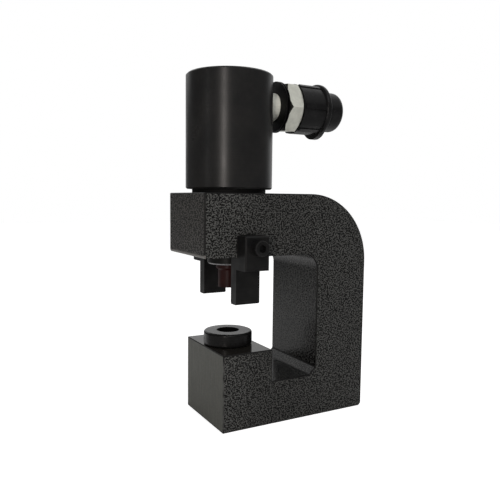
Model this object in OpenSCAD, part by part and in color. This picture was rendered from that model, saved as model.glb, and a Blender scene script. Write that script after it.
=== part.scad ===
// Hydraulic hole punch: a C frame with a screwed-in cylinder, a spring-returned ram with a round
// punch, a ring die, two stripper bars and a capped hose coupler at the back.
// The origin lies on the punch axis at the base, +X runs to the back of the throat and +Z is up.

/* [Frame] */
// Height of the C frame
frame_height = 200; // [180:1:240]
// How far the sides of the frame stand out past the barrel
frame_margin = 0.25; // [0:0.05:6]
// Reach of the upper nose in front of the punch axis
upper_nose = 40.5; // [38:0.5:60]
// Reach of the lower nose in front of the punch axis
lower_nose = 23; // [22:0.5:45]
// Distance of the rear face behind the punch axis
rear_reach = 123.6; // [115:0.1:160]
// Distance of the throat wall behind the punch axis
throat_reach = 69.6; // [60:0.1:80]
// Height of the upper jaw
jaw_height = 53; // [46:1:60]
// Height of the block that carries the die
die_block_height = 66; // [58:1:72]
// Length of the die block behind the punch axis
die_block_rear = 24.2; // [22:0.1:36]
// Height of the pocket floor between die block and throat wall
pocket_floor = 38; // [30:1:50]
// Radius of the round top corner at the back
rear_corner_radius = 61; // [40:1:70]
// Radius of the fillet at the top of the throat
throat_fillet = 14; // [6:0.5:20]
// Size of the slope at the foot of the throat wall
pocket_slope = 6.6; // [3:0.1:12]
// Size of the bevel at the rear foot of the frame
foot_bevel = 2; // [1:0.5:6]

/* [Cylinder] */
// Outer diameter of the barrel
barrel_diameter = 75.5; // [68:0.5:90]
// Open gap between frame and barrel
barrel_gap = 3.4; // [2:0.1:8]
// Step from the wall of the barrel in to the neck that screws into the frame
neck_step = 5.55; // [4:0.05:8]
// Depth of the neck in the frame
neck_depth = 28; // [24:0.5:32]
// Wall of the barrel
barrel_wall = 10.75; // [9:0.05:14]
// Thickness of the closed end of the barrel
barrel_end_wall = 15; // [12:0.5:16]
// Bevel on the edges of the barrel
barrel_bevel = 1.2; // [0.5:0.1:3]

/* [Ram] */
// Length of the piston
piston_length = 24; // [22:0.5:27]
// Height of the stop on top of the piston
stop_height = 11.5; // [10:0.5:14]
// Diameter of the stop on top of the piston
stop_diameter = 26; // [20:1:34]
// Diameter of the rod
rod_diameter = 30; // [28:0.5:33]
// Step from the rod in to its threaded end
rod_thread_step = 2; // [1.5:0.1:3]
// Wire diameter of the return spring
spring_wire = 4; // [3:0.1:4.2]
// Length of the return spring when the ram is fully down
pressed_spring = 29; // [28:0.5:40]
// Turns of the return spring
spring_turns = 5.5; // [4:0.5:6]
// Gap between the spring seat and the bore all round
spring_seat_gap = 2; // [0.5:0.1:3]
// Thickness of the spring seat
spring_seat_thickness = 3; // [2:0.1:4]

/* [Guide] */
// Wall of the guide bush round the rod wiper
bush_wall = 1.5; // [1:0.1:3]
// Gap between the flange of the guide bush and the bore all round
bush_flange_gap = 3; // [0.5:0.1:4]
// Thickness of the flange of the guide bush
bush_flange_thickness = 3; // [2:0.1:4]
// Width of the rod wiper round the rod
wiper_width = 2.5; // [2:0.1:4]
// Thickness of the rod wiper
wiper_thickness = 4; // [3:0.1:6]

/* [Punch and die] */
// Diameter of the punch
punch_diameter = 18; // [12:0.1:18.9]
// How far the punch stands below its nut
punch_reach = 20.6; // [16:0.1:24]
// How far the punch enters the die at full stroke
punch_entry = 3.6; // [2:0.1:5]
// Diameter of the body of the punch between head and point
punch_body_diameter = 21.6; // [19:0.1:22.5]
// How far the body of the punch stands below the nut
punch_body_reach = 5.5; // [3:0.1:8]
// Gap round the head of the punch inside the nut
punch_head_gap = 0.5; // [0.1:0.05:1]
// Thickness of the head of the punch
punch_head_thickness = 5; // [4:0.1:6]
// Diameter of the centring pip of the punch
pip_diameter = 5; // [3:0.1:8]
// Height of the centring pip
pip_height = 1.4; // [0.6:0.1:2]
// Outer diameter of the punch nut
nut_diameter = 37; // [34:0.1:37.5]
// Height of the nut above its lower rim
nut_height = 15.5; // [14:0.1:16]
// How far the rim of the nut stands below the jaw at rest
nut_projection = 8.8; // [8:0.1:10]
// Thickness of the lip of the nut under the punch head
nut_lip = 4; // [3:0.1:5]
// Bevel on the rim of the nut
nut_bevel = 1.2; // [0.5:0.1:2]
// Gap round the nut in its recess in the jaw
nut_recess_gap = 1; // [0.5:0.1:2]
// Depth of the recess for the nut in the jaw
nut_recess_depth = 9.4; // [9:0.1:11]
// Diameter of the die
die_diameter = 43.2; // [40:0.1:44]
// Height of the die above its block
die_height = 12.2; // [10:0.1:14]
// Width of the shoulder that the die rests on
die_shoulder = 5.6; // [3:0.1:8]
// Depth of the spigot of the die
die_spigot_depth = 16; // [12:0.5:20]
// Gap between punch and die all round
die_gap = 0.3; // [0.2:0.05:0.6]
// Length of the cutting wall of the die
die_land = 7; // [4:0.5:10]
// Rounding of the outer edge of the die
die_rounding = 2; // [0.5:0.1:3]
// Bevel at the mouth of the die
die_mouth_bevel = 0.5; // [0.3:0.1:1.5]
// How much wider the slug hole in the base is than the relief of the die, all round
slug_gap = 0.8; // [0.5:0.1:3]

/* [Strippers] */
// Width of a stripper along the throat
stripper_width = 22.3; // [18:0.1:28]
// Depth of the stripper plate out from the side of the frame
plate_depth = 14.7; // [12:0.1:16]
// Rise of the stripper plate above the underside of the jaw
plate_rise = 18.3; // [17.5:0.1:26]
// Depth of the foot of the stripper below the jaw
foot_depth = 10.1; // [8:0.1:14]
// Reach of the leg of the stripper below the jaw
leg_reach = 39.8; // [30:0.1:42]
// Thickness of the leg
leg_thickness = 9.4; // [7:0.1:11]
// How far the leg stands in from the side of the frame
leg_inset = 1.4; // [0:0.1:3]
// Bevel on the edges of the strippers
stripper_bevel = 1; // [0.3:0.1:2]
// Diameter of the stripper screws
screw_diameter = 8; // [6:0.5:8]
// Diameter of the heads of the stripper screws
screw_head_diameter = 13; // [11:0.5:14]
// Height of the heads of the stripper screws
screw_head_height = 8; // [6:0.5:10]
// Size across the flats of the sockets of the stripper screws
screw_socket = 6; // [4:0.5:7]
// Depth of the stripper screws in the frame
screw_grip = 10.3; // [8:0.1:12]
// Height of the stripper screws above the underside of the jaw
screw_rise = 8.8; // [8:0.1:10]

/* [Coupler] */
// Drop of the coupler axis below the top of the barrel
port_drop = 23; // [20:0.5:24]
// Depth of the flat that the nipple seats on
port_flat_depth = 2.4; // [2.2:0.1:4]
// Diameter of the thread of the nipple
nipple_thread = 18; // [16:0.5:20]
// Diameter of the collar of the nipple
nipple_diameter = 24.5; // [23:0.1:28]
// Bore of the nipple
nipple_bore = 8; // [5:0.5:10]
// Distance of the hexagon from the wall of the barrel
hex_stand_off = 10.85; // [9.5:0.05:18]
// Width of the hexagon along the coupler axis
hex_width = 15.2; // [13:0.1:20]
// Size across the flats of the hexagon
hex_flats = 41; // [39:0.5:46]
// Bevel of the hexagon
hex_bevel = 2.5; // [1:0.1:4]
// Turn of the hexagon about the coupler axis, as it is left by tightening
hex_turn = 5; // [-30:1:30]
// Length of the thread of the nipple in the coupler
nipple_engagement = 9.5; // [8:0.5:11]
// Thickness of the sealing washer
port_seal_thickness = 1.5; // [1:0.1:2.5]
// Diameter of the black ring behind the hexagon
ring_diameter = 45.2; // [40:0.1:50]
// Thickness of the black ring
ring_thickness = 4.1; // [3:0.1:6]
// Diameter of the nose of the coupler
nose_diameter = 34; // [31:0.5:36]
// Length of the nose of the coupler
nose_length = 25; // [22:0.5:30]
// Diameter of the valve chamber
chamber_diameter = 20; // [18:0.5:22]
// Diameter of the mouth of the valve chamber
mouth_diameter = 13; // [11:0.5:14]
// Wall in front of the valve chamber
mouth_wall = 5; // [4:0.5:6]
// Travel of the valve poppet
valve_travel = 3; // [2:0.5:3.5]
// Wire diameter of the valve spring
valve_wire = 1; // [0.8:0.1:1.1]
// Turns of the valve spring
valve_turns = 3.5; // [3:0.5:3.5]
// Wall behind the valve chamber
chamber_wall = 3; // [2:0.5:4]

/* [Dust cap] */
// Outer diameter of the body of the cap
cap_diameter = 44.6; // [41:0.1:47]
// Length of the body of the cap
cap_length = 29.2; // [26.5:0.1:34]
// Diameter of the end of the cap
cap_end_diameter = 36.4; // [30:0.1:42]
// Length of the end of the cap
cap_end_length = 19.6; // [12:0.1:24]
// Rounding of the end of the cap
cap_end_rounding = 7; // [2:0.1:8]
// Wall at the end of the cap
cap_end_wall = 3.5; // [2:0.1:6]
// Height of the grip ribs
rib_height = 0.8; // [0.3:0.1:1.1]
// Width of the grip ribs
rib_width = 4; // [2:0.1:6]
// Number of grip ribs
rib_count = 6; // [4:1:12]
// Diameter of the rim of the cap
cap_rim_diameter = 48.8; // [47:0.1:52]
// Width of the rim of the cap
cap_rim_width = 6; // [3:0.1:9]
// Rounding of the rim of the cap
cap_rim_rounding = 2.4; // [0.5:0.1:3]
// Radius of the lug under the cap
lug_radius = 17.3; // [12:0.1:20]
// Reach of the lug from the coupler axis
lug_reach = 26.2; // [25:0.1:30]
// Thickness of the lug
lug_thickness = 5; // [2:0.1:6]
// Diameter of the tether hole in the lug
tether_hole = 2.4; // [1:0.1:3]

/* [Hidden] */
$fn = 96;

// Overrun of every cut past the faces that it opens
overrun = 1;
// Gap between seated pieces that are threaded, pressed or dropped together
seat_gap = 0.02;
// Gap of a sliding fit, measured on the radius
slide_gap = 0.05;
// Gap between pieces that pass each other without touching
free_gap = 0.3;
// Gap above the stop of the piston at rest
stop_gap = 0.4;
// Bevel of small edges
small_bevel = 0.5;

// Widths of the frame and cylinder
barrel_radius = barrel_diameter / 2;
neck_radius = barrel_radius - neck_step;
bore_radius = barrel_radius - barrel_wall;
side = barrel_radius + frame_margin;
frame_thickness = side * 2;

// Heights of the frame
jaw_underside = frame_height - jaw_height;
recess_roof = jaw_underside + nut_recess_depth;
socket_floor = frame_height - neck_depth;

// Die
die_top = die_block_height + die_height;
die_foot = die_block_height - die_spigot_depth;
die_radius = die_diameter / 2;
die_hole_radius = punch_diameter / 2 + die_gap;
die_relief = 0.9;
die_relief_radius = die_hole_radius + die_relief;
slug_radius = die_relief_radius + slug_gap;
spigot_radius = die_radius - die_shoulder;

// Widths of the rod and of what fits round it
rod_radius = rod_diameter / 2;
rod_thread_radius = rod_radius - rod_thread_step;
wiper_radius = rod_radius + wiper_width;
bush_radius = wiper_radius + bush_wall;
bush_flange_radius = bore_radius - bush_flange_gap;
spring_seat_radius = bore_radius - spring_seat_gap;
spring_diameter = rod_radius + bore_radius;
nut_recess_radius = nut_diameter / 2 + nut_recess_gap;
punch_head_radius = rod_thread_radius - punch_head_gap;

// Punch and nut at rest, and the stroke that takes the punch into the die
nut_rim = jaw_underside - nut_projection;
nut_top = nut_rim + nut_height;
nut_seat = nut_rim + nut_lip;
punch_rim_height = nut_rim - punch_reach;
pip_tip_share = 0.25;
stroke = punch_rim_height - die_top + punch_entry;

// Seat of the return spring
bush_flange_top = socket_floor + bush_flange_thickness;
spring_bottom = bush_flange_top + spring_seat_thickness;
spring_length = pressed_spring + stroke;
spring_end_turns = 1;
spring_end_pitch = spring_wire + small_bevel;

// Ram at rest
piston_bottom = spring_bottom + spring_length;
piston_top = piston_bottom + piston_length;
piston_radius = bore_radius - slide_gap;
rod_end = nut_seat + punch_head_thickness;

// Cylinder
barrel_bottom = frame_height + barrel_gap;
bore_top = piston_top + stop_height + stop_gap;
barrel_top = bore_top + barrel_end_wall;

// Grooves of the piston
groove_depth = 4.5;
seal_width = 5;
backup_width = 2;
band_width = 8;
band_depth = 2.5;
groove_land = 3;
seal_top = piston_top - groove_land;
seal_bottom = seal_top - seal_width;
backup_bottom = seal_bottom - backup_width;
band_top = backup_bottom - groove_land;
band_bottom = band_top - band_width;
seal_lip_depth = 2;
seal_lip_width = 1.5;

// Grub screws of the neck and the die
grub_diameter = 6;
grub_socket = 3;
grub_socket_depth = 3;
grub_point = 1.5;
neck_grub_height = frame_height - neck_depth / 2;
neck_grub_length = side - neck_radius - small_bevel;
die_grub_length = 12;
die_grub_height = die_block_height - die_spigot_depth / 2;
die_groove_depth = 1.5;

// Strippers, measured out from the middle plane of the frame
plate_outer = side + plate_depth;
leg_outer = side - leg_inset;
leg_inner = leg_outer - leg_thickness;
plate_top = jaw_underside + plate_rise;
foot_bottom = jaw_underside - foot_depth;
leg_bottom = jaw_underside - leg_reach;
screw_height = jaw_underside + screw_rise;
screw_socket_depth = screw_head_height / 2;
tapping_relief = 2;
screw_end = side - screw_grip;
screw_hole_end = screw_end - tapping_relief;

// Coupler, measured back from the cylinder axis
port_height = barrel_top - port_drop;
port_flat = barrel_radius - port_flat_depth;
port_flat_diameter = nipple_diameter + small_bevel * 2;
nipple_shoulder = port_flat + port_seal_thickness;
nipple_start = bore_radius + small_bevel;
hex_start = barrel_radius + hex_stand_off;
ring_start = hex_start - ring_thickness;
ring_groove_depth = 1.2;
ring_band_share = 0.33;
hex_end = hex_start + hex_width;
nose_radius = nose_diameter / 2;
nose_end = hex_end + nose_length;
nipple_end = hex_start + nipple_engagement;
chamber_start = nipple_end + chamber_wall;
chamber_radius = chamber_diameter / 2;
mouth_radius = mouth_diameter / 2;
seat_cone = chamber_radius - mouth_radius;
chamber_end = nose_end - mouth_wall;
nose_bevel = 1.5;
o_ring_wire = 2.6;
o_ring_place = hex_end + nose_length / 2;
o_ring_proud = 0.1;
o_ring_groove_depth = o_ring_wire - o_ring_proud;
o_ring_groove_width = o_ring_wire + small_bevel;

// Valve
guide_thickness = 3;
guide_end = chamber_start + guide_thickness;
guide_hole = 4;
guide_holes = 4;
stem_diameter = 6;
stem_shoulder_diameter = 8;
stem_overhang = 1.5;
poppet_radius = chamber_radius - free_gap * 2;
poppet_land = 4;
poppet_nose_radius = mouth_radius - free_gap * 2;
poppet_back = chamber_end - poppet_land - seat_cone;
poppet_cone_start = chamber_end - seat_cone;
poppet_pull_back = 0.2;
shoulder_face = guide_end + valve_travel + free_gap;
valve_spring_diameter = (stem_diameter + chamber_diameter) / 2;
valve_spring_length = poppet_back - poppet_pull_back - guide_end;
valve_end_pitch = valve_wire + small_bevel;

// Dust cap
cap_start = hex_end + free_gap;
cap_body_end = cap_start + cap_length;
cap_end = cap_body_end + cap_end_length;
cap_radius = cap_diameter / 2;
cap_end_radius = cap_end_diameter / 2;
cap_bore_radius = nose_radius + free_gap;
cap_bore_end = nose_end + free_gap;
cap_inner_radius = cap_end_radius - cap_end_wall;
cap_rim_radius = cap_rim_diameter / 2;
cap_rim_start = cap_body_end - cap_rim_width;
rib_set_back = 1;
lug_centre = lug_reach - lug_radius;
lug_start = cap_rim_start;
tether_centre = (lug_reach + cap_rim_radius) / 2;

// Resolution of the spring tubes
tube_sides = 8;
tube_steps_per_turn = 24;

// Colours
paint_grey = [0.22, 0.23, 0.23];
oxide_black = [0.10, 0.10, 0.11];
steel_dark = [0.30, 0.32, 0.28];
steel_bright = [0.72, 0.73, 0.68];
steel_plain = [0.55, 0.56, 0.57];
bronze = [0.66, 0.48, 0.26];
punch_red = [0.28, 0.12, 0.10];
rubber_black = [0.06, 0.06, 0.07];
seal_blue = [0.16, 0.28, 0.50];
ptfe_white = [0.86, 0.86, 0.82];
spring_grey = [0.36, 0.37, 0.40];

// A turned piece from its half outline
module turned(outline) {
    rotate_extrude()
        polygon(outline);
}

// A ring between two heights
module ring_between(outer, inner, low, high) {
    difference() {
        translate([0, 0, low])
            cylinder(r = outer, h = high - low);
        translate([0, 0, low - overrun])
            cylinder(r = inner, h = high - low + overrun * 2);
    }
}

// A round bar or cut between two heights
module bar_between(radius, low, high) {
    translate([0, 0, low])
        cylinder(r = radius, h = high - low);
}

// Places its children with +Z along the coupler axis, measured from the cylinder axis
module along_coupler() {
    translate([0, 0, port_height])
        rotate([0, 90, 0])
            children();
}

// Places its children with +Z out of the far side of the frame
module out_of_far_side(height) {
    translate([0, 0, height])
        rotate([-90, 0, 0])
            children();
}

// A hexagonal prism of a size across its flats
module hexagon(flats, length) {
    cylinder(d = flats / cos(30), h = length, $fn = 6);
}

// One headless socket screw, its point at the given distance from the axis
module grub_screw(start, length) {
    radius = grub_diameter / 2 - seat_gap;
    difference() {
        turned([[0, start], [radius - grub_point, start], [radius, start + grub_point],
            [radius, start + length], [0, start + length]]);
        translate([0, 0, start + length - grub_socket_depth])
            hexagon(grub_socket, grub_socket_depth + overrun);
    }
}

// Height of a coil's centre line after a number of turns, with close turns at both ends
function coil_height(turn, turns, length, wire, end_pitch) =
    let (
        span = length - wire,
        ends = spring_end_turns,
        middle_pitch = (span - end_pitch * ends * 2) / (turns - ends * 2)
    )
    wire / 2 + (turn < ends ? turn * end_pitch
        : turn > turns - ends ? span - (turns - turn) * end_pitch
        : end_pitch * ends + (turn - ends) * middle_pitch);

// A coil spring as one tube round the Z axis, standing on height zero
module coil(diameter, wire, turns, length, end_pitch) {
    rings = turns * tube_steps_per_turn;
    points = [
        for (i = [0 : rings])
            let (
                turn = i / tube_steps_per_turn,
                angle = turn * 360,
                height = coil_height(turn, turns, length, wire, end_pitch)
            )
            for (j = [0 : tube_sides - 1])
                let (
                    around = (j + 1 / 2) * 360 / tube_sides,
                    reach = diameter / 2 + wire / 2 * cos(around)
                )
                [reach * cos(angle), reach * sin(angle), height + wire / 2 * sin(around)]
    ];
    sides = [
        for (i = [0 : rings - 1], j = [0 : tube_sides - 1])
            let (
                a = i * tube_sides + j,
                b = i * tube_sides + (j + 1) % tube_sides
            )
            each [[a, b, b + tube_sides], [a, b + tube_sides, a + tube_sides]]
    ];
    first_cap = [for (j = [1 : tube_sides - 2]) [0, j + 1, j]];
    last = rings * tube_sides;
    last_cap = [for (j = [1 : tube_sides - 2]) [last, last + j, last + j + 1]];
    gaps = [
        for (i = [0 : rings - tube_steps_per_turn])
            coil_height(i / tube_steps_per_turn + 1, turns, length, wire, end_pitch)
                - coil_height(i / tube_steps_per_turn, turns, length, wire, end_pitch) - wire
    ];
    echo(str("least gap between turns ", min(gaps)));
    polyhedron(points, concat(sides, first_cap, last_cap));
}

// What a round corner takes away from a square one
module corner_waste(radius) {
    difference() {
        square(radius + overrun);
        circle(r = radius);
    }
}

// Side view of the frame, across in X and up in Z
module frame_outline() {
    difference() {
        union() {
            translate([-upper_nose, jaw_underside])
                square([upper_nose + rear_reach, frame_height - jaw_underside]);
            translate([throat_reach, 0])
                square([rear_reach - throat_reach, frame_height]);
            translate([-lower_nose, 0])
                square([lower_nose + die_block_rear, die_block_height]);
            translate([-lower_nose, 0])
                square([lower_nose + rear_reach, pocket_floor]);
            translate([throat_reach - throat_fillet, jaw_underside - throat_fillet])
                corner_waste(throat_fillet);
            polygon([[throat_reach - pocket_slope, pocket_floor], [throat_reach, pocket_floor - overrun],
                [throat_reach + overrun, pocket_floor], [throat_reach, pocket_floor + pocket_slope]]);
        }
        translate([rear_reach - rear_corner_radius, frame_height - rear_corner_radius])
            corner_waste(rear_corner_radius);
        polygon([[rear_reach - foot_bevel, 0], [rear_reach - foot_bevel, -overrun],
            [rear_reach + overrun, -overrun], [rear_reach + overrun, foot_bevel],
            [rear_reach, foot_bevel]]);
    }
}

module c_frame() {
    color(paint_grey)
        difference() {
            rotate([90, 0, 0])
                linear_extrude(height = frame_thickness, center = true)
                    frame_outline();
            bar_between(neck_radius + seat_gap, socket_floor, frame_height + overrun);
            bar_between(bush_radius + seat_gap, recess_roof - overrun, socket_floor + overrun);
            bar_between(nut_recess_radius, jaw_underside - overrun, recess_roof);
            bar_between(spigot_radius + seat_gap, die_foot, die_block_height + overrun);
            bar_between(slug_radius, -overrun, die_foot + overrun);
            out_of_far_side(neck_grub_height)
                bar_between(grub_diameter / 2, neck_radius - overrun, side + overrun);
            out_of_far_side(die_grub_height)
                bar_between(grub_diameter / 2, spigot_radius - overrun, side + overrun);
            for (turn = [-90, 90])
                translate([0, 0, screw_height])
                    rotate([turn, 0, 0])
                        bar_between(screw_diameter / 2 + seat_gap, screw_hole_end, side + overrun);
        }
}

module barrel() {
    color(oxide_black)
        difference() {
            turned([[0, socket_floor], [neck_radius - small_bevel, socket_floor],
                [neck_radius, socket_floor + small_bevel], [neck_radius, barrel_bottom],
                [barrel_radius - barrel_bevel, barrel_bottom],
                [barrel_radius, barrel_bottom + barrel_bevel],
                [barrel_radius, barrel_top - barrel_bevel],
                [barrel_radius - barrel_bevel, barrel_top], [0, barrel_top]]);
            bar_between(bore_radius, socket_floor - overrun, bore_top);
            along_coupler() {
                bar_between(nipple_thread / 2 + seat_gap, 0, barrel_radius);
                bar_between(port_flat_diameter / 2, port_flat, barrel_radius + overrun);
            }
        }
}

module barrel_lock_screw() {
    color(oxide_black)
        out_of_far_side(neck_grub_height)
            grub_screw(neck_radius + seat_gap, neck_grub_length);
}

module guide_bush() {
    wiper_seat = recess_roof + wiper_thickness;
    bore = rod_radius + slide_gap;
    color(bronze)
        turned([[bore, wiper_seat], [wiper_radius, wiper_seat], [wiper_radius, recess_roof],
            [bush_radius, recess_roof], [bush_radius, socket_floor], [bush_flange_radius, socket_floor],
            [bush_flange_radius, bush_flange_top], [bore, bush_flange_top]]);
}

module rod_wiper() {
    outer = wiper_radius - seat_gap;
    inner = rod_radius + slide_gap;
    low = recess_roof;
    middle = recess_roof + wiper_thickness / 2;
    high = recess_roof + wiper_thickness;
    lip = (outer + inner) / 2;
    color(seal_blue)
        turned([[inner, low], [inner + small_bevel, low], [lip, middle], [outer, middle], [outer, high],
            [lip, high], [lip, high - small_bevel], [inner, low + small_bevel]]);
}

module spring_seat() {
    color(steel_plain)
        ring_between(spring_seat_radius, rod_radius + free_gap, bush_flange_top, spring_bottom);
}

module return_spring() {
    color(spring_grey)
        translate([0, 0, spring_bottom])
            coil(spring_diameter, spring_wire, spring_turns, spring_length, spring_end_pitch);
}

module piston_ram() {
    groove_radius = piston_radius - groove_depth;
    band_radius = piston_radius - band_depth;
    color(steel_plain)
        turned([[0, rod_end], [rod_thread_radius - small_bevel, rod_end],
            [rod_thread_radius, rod_end + small_bevel], [rod_thread_radius, nut_top], [rod_radius, nut_top],
            [rod_radius, piston_bottom], [piston_radius, piston_bottom], [piston_radius, band_bottom],
            [band_radius, band_bottom], [band_radius, band_top], [piston_radius, band_top],
            [piston_radius, backup_bottom], [groove_radius, backup_bottom], [groove_radius, seal_top],
            [piston_radius, seal_top], [piston_radius, piston_top - small_bevel],
            [piston_radius - small_bevel, piston_top], [stop_diameter / 2, piston_top],
            [stop_diameter / 2, piston_top + stop_height], [0, piston_top + stop_height]]);
}

module piston_seal() {
    inner = piston_radius - groove_depth + seat_gap;
    outer = piston_radius;
    color(seal_blue)
        turned([[inner, seal_bottom], [outer, seal_bottom], [outer, seal_top],
            [outer - seal_lip_width, seal_top], [(inner + outer) / 2, seal_top - seal_lip_depth],
            [inner + seal_lip_width, seal_top], [inner, seal_top]]);
}

module backup_ring() {
    color(ptfe_white)
        ring_between(piston_radius, piston_radius - groove_depth + seat_gap, backup_bottom, seal_bottom);
}

module piston_guide_ring() {
    color(bronze)
        ring_between(piston_radius, piston_radius - band_depth + seat_gap, band_bottom, band_top);
}

module punch_nut() {
    rim = nut_diameter / 2;
    hole = punch_body_diameter / 2 + seat_gap;
    thread = rod_thread_radius + seat_gap;
    color(steel_dark)
        turned([[hole, nut_rim], [rim - nut_bevel, nut_rim], [rim, nut_rim + nut_bevel],
            [rim, nut_top - small_bevel], [rim - small_bevel, nut_top], [thread, nut_top],
            [thread, nut_seat], [hole, nut_seat]]);
}

module punch() {
    point = punch_diameter / 2;
    body = punch_body_diameter / 2;
    pip = pip_diameter / 2;
    head = punch_head_radius;
    body_foot = nut_rim - punch_body_reach;
    pip_tip = punch_rim_height - pip_height;
    color(punch_red)
        turned([[0, pip_tip], [pip * pip_tip_share, pip_tip], [pip, punch_rim_height],
            [point, punch_rim_height], [point, body_foot], [body, body_foot + body - point],
            [body, nut_seat], [head, nut_seat], [head, rod_end], [0, rod_end]]);
}

module lower_die() {
    edge = die_radius - die_rounding;
    mouth_wide = die_hole_radius + die_mouth_bevel + overrun;
    mouth_narrow = die_hole_radius - overrun;
    mouth_foot = die_top - die_mouth_bevel - overrun;
    color(oxide_black)
        difference() {
            union() {
                bar_between(spigot_radius, die_foot, die_top);
                bar_between(edge, die_block_height, die_top);
                bar_between(die_radius, die_block_height + die_rounding, die_top - die_rounding);
                rotate_extrude()
                    for (place = [die_block_height + die_rounding, die_top - die_rounding])
                        translate([edge, place])
                            circle(r = die_rounding);
            }
            bar_between(die_hole_radius, die_foot - overrun, die_top + overrun);
            turned([[0, die_top + overrun], [mouth_wide, die_top + overrun], [mouth_narrow, mouth_foot],
                [0, mouth_foot]]);
            bar_between(die_relief_radius, die_foot - overrun, die_top - die_land);
            out_of_far_side(die_grub_height)
                bar_between(grub_diameter / 2, spigot_radius - die_groove_depth, spigot_radius + overrun);
        }
}

module die_lock_screw() {
    color(oxide_black)
        out_of_far_side(die_grub_height)
            grub_screw(spigot_radius - die_groove_depth, die_grub_length);
}

// One stripper on the +Y side of the frame
module stripper() {
    half = stripper_width / 2;
    bevel = stripper_bevel;
    difference() {
        intersection() {
            rotate([90, 0, 90])
                linear_extrude(height = stripper_width, center = true)
                    polygon([[side, plate_top], [plate_outer - bevel, plate_top],
                        [plate_outer, plate_top - bevel], [plate_outer, foot_bottom + bevel],
                        [plate_outer - bevel, foot_bottom], [leg_outer, foot_bottom],
                        [leg_outer, leg_bottom + bevel], [leg_outer - bevel, leg_bottom],
                        [leg_inner + bevel, leg_bottom], [leg_inner, leg_bottom + bevel],
                        [leg_inner, jaw_underside], [side, jaw_underside]]);
            translate([0, 0, leg_bottom])
                linear_extrude(height = plate_top - leg_bottom)
                    polygon([[-half, leg_inner], [half, leg_inner], [half, plate_outer - bevel],
                        [half - bevel, plate_outer], [bevel - half, plate_outer],
                        [-half, plate_outer - bevel]]);
        }
        translate([0, 0, screw_height])
            rotate([-90, 0, 0])
                bar_between(screw_diameter / 2 + free_gap, side - overrun, plate_outer + overrun);
    }
}

module near_stripper() {
    color(oxide_black)
        mirror([0, 1, 0])
            stripper();
}

module far_stripper() {
    color(oxide_black)
        stripper();
}

module stripper_screws() {
    head = screw_head_diameter / 2;
    shank = screw_diameter / 2;
    head_top = plate_outer + screw_head_height;
    color(oxide_black)
        for (turn = [-90, 90])
            translate([0, 0, screw_height])
                rotate([turn, 0, 0])
                    difference() {
                        turned([[0, screw_end], [shank - small_bevel, screw_end],
                            [shank, screw_end + small_bevel], [shank, plate_outer], [head, plate_outer],
                            [head, head_top - small_bevel], [head - small_bevel, head_top], [0, head_top]]);
                        translate([0, 0, head_top - screw_socket_depth])
                            hexagon(screw_socket, screw_socket_depth + overrun);
                    }
}

module port_seal() {
    color(bronze)
        along_coupler()
            ring_between(nipple_diameter / 2 - seat_gap, nipple_thread / 2 + seat_gap, port_flat,
                nipple_shoulder);
}

module port_nipple() {
    thread = nipple_thread / 2;
    collar = nipple_diameter / 2;
    color(steel_bright)
        along_coupler()
            turned([[nipple_bore / 2, nipple_start], [thread - small_bevel, nipple_start],
                [thread, nipple_start + small_bevel], [thread, nipple_shoulder], [collar, nipple_shoulder],
                [collar, hex_start], [thread, hex_start], [thread, nipple_end - small_bevel],
                [thread - small_bevel, nipple_end], [nipple_bore / 2, nipple_end]]);
}

module tether_ring() {
    inner = nipple_diameter / 2 + seat_gap;
    outer = ring_diameter / 2;
    band = ring_thickness * ring_band_share;
    groove = outer - ring_groove_depth;
    color(rubber_black)
        along_coupler()
            turned([[inner, ring_start], [outer - small_bevel, ring_start],
                [outer, ring_start + small_bevel], [outer, ring_start + band], [groove, ring_start + band],
                [groove, hex_start - band], [outer, hex_start - band], [outer, hex_start - small_bevel],
                [outer - small_bevel, hex_start], [inner, hex_start]]);
}

module coupler_body() {
    corner = hex_flats / 2 / cos(30);
    face = hex_flats / 2 - small_bevel;
    groove_half = o_ring_groove_width / 2;
    color(steel_bright)
        along_coupler()
            difference() {
                union() {
                    intersection() {
                        translate([0, 0, hex_start])
                            rotate([0, 0, 30 + hex_turn])
                                hexagon(hex_flats, hex_width);
                        turned([[0, hex_start], [face, hex_start], [corner, hex_start + hex_bevel],
                            [corner, hex_end - hex_bevel], [face, hex_end], [0, hex_end]]);
                    }
                    turned([[0, hex_end - overrun], [nose_radius, hex_end - overrun],
                        [nose_radius, nose_end - nose_bevel], [nose_radius - nose_bevel, nose_end],
                        [0, nose_end]]);
                }
                bar_between(nipple_thread / 2 + seat_gap, hex_start - overrun, nipple_end);
                bar_between(nipple_bore / 2 + small_bevel, nipple_end - overrun, chamber_start + overrun);
                turned([[0, chamber_start], [chamber_radius, chamber_start],
                    [chamber_radius, chamber_end - seat_cone], [mouth_radius, chamber_end],
                    [mouth_radius, nose_end + overrun], [0, nose_end + overrun]]);
                ring_between(nose_radius + overrun, nose_radius - o_ring_groove_depth,
                    o_ring_place - groove_half, o_ring_place + groove_half);
            }
}

module coupler_o_ring() {
    color(rubber_black)
        along_coupler()
            translate([0, 0, o_ring_place])
                rotate_extrude()
                    translate([nose_radius - o_ring_groove_depth + o_ring_wire / 2, 0])
                        circle(d = o_ring_wire - seat_gap * 2);
}

module valve_guide() {
    stem = stem_diameter / 2;
    color(steel_plain)
        along_coupler()
            difference() {
                ring_between(chamber_radius - seat_gap, stem + slide_gap, chamber_start, guide_end);
                for (i = [0 : guide_holes - 1])
                    rotate([0, 0, i * 360 / guide_holes])
                        translate([(chamber_radius + stem) / 2, 0, 0])
                            bar_between(guide_hole / 2, chamber_start - overrun, guide_end + overrun);
            }
}

module valve_spring() {
    color(spring_grey)
        along_coupler()
            translate([0, 0, guide_end])
                coil(valve_spring_diameter, valve_wire, valve_turns, valve_spring_length, valve_end_pitch);
}

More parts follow.
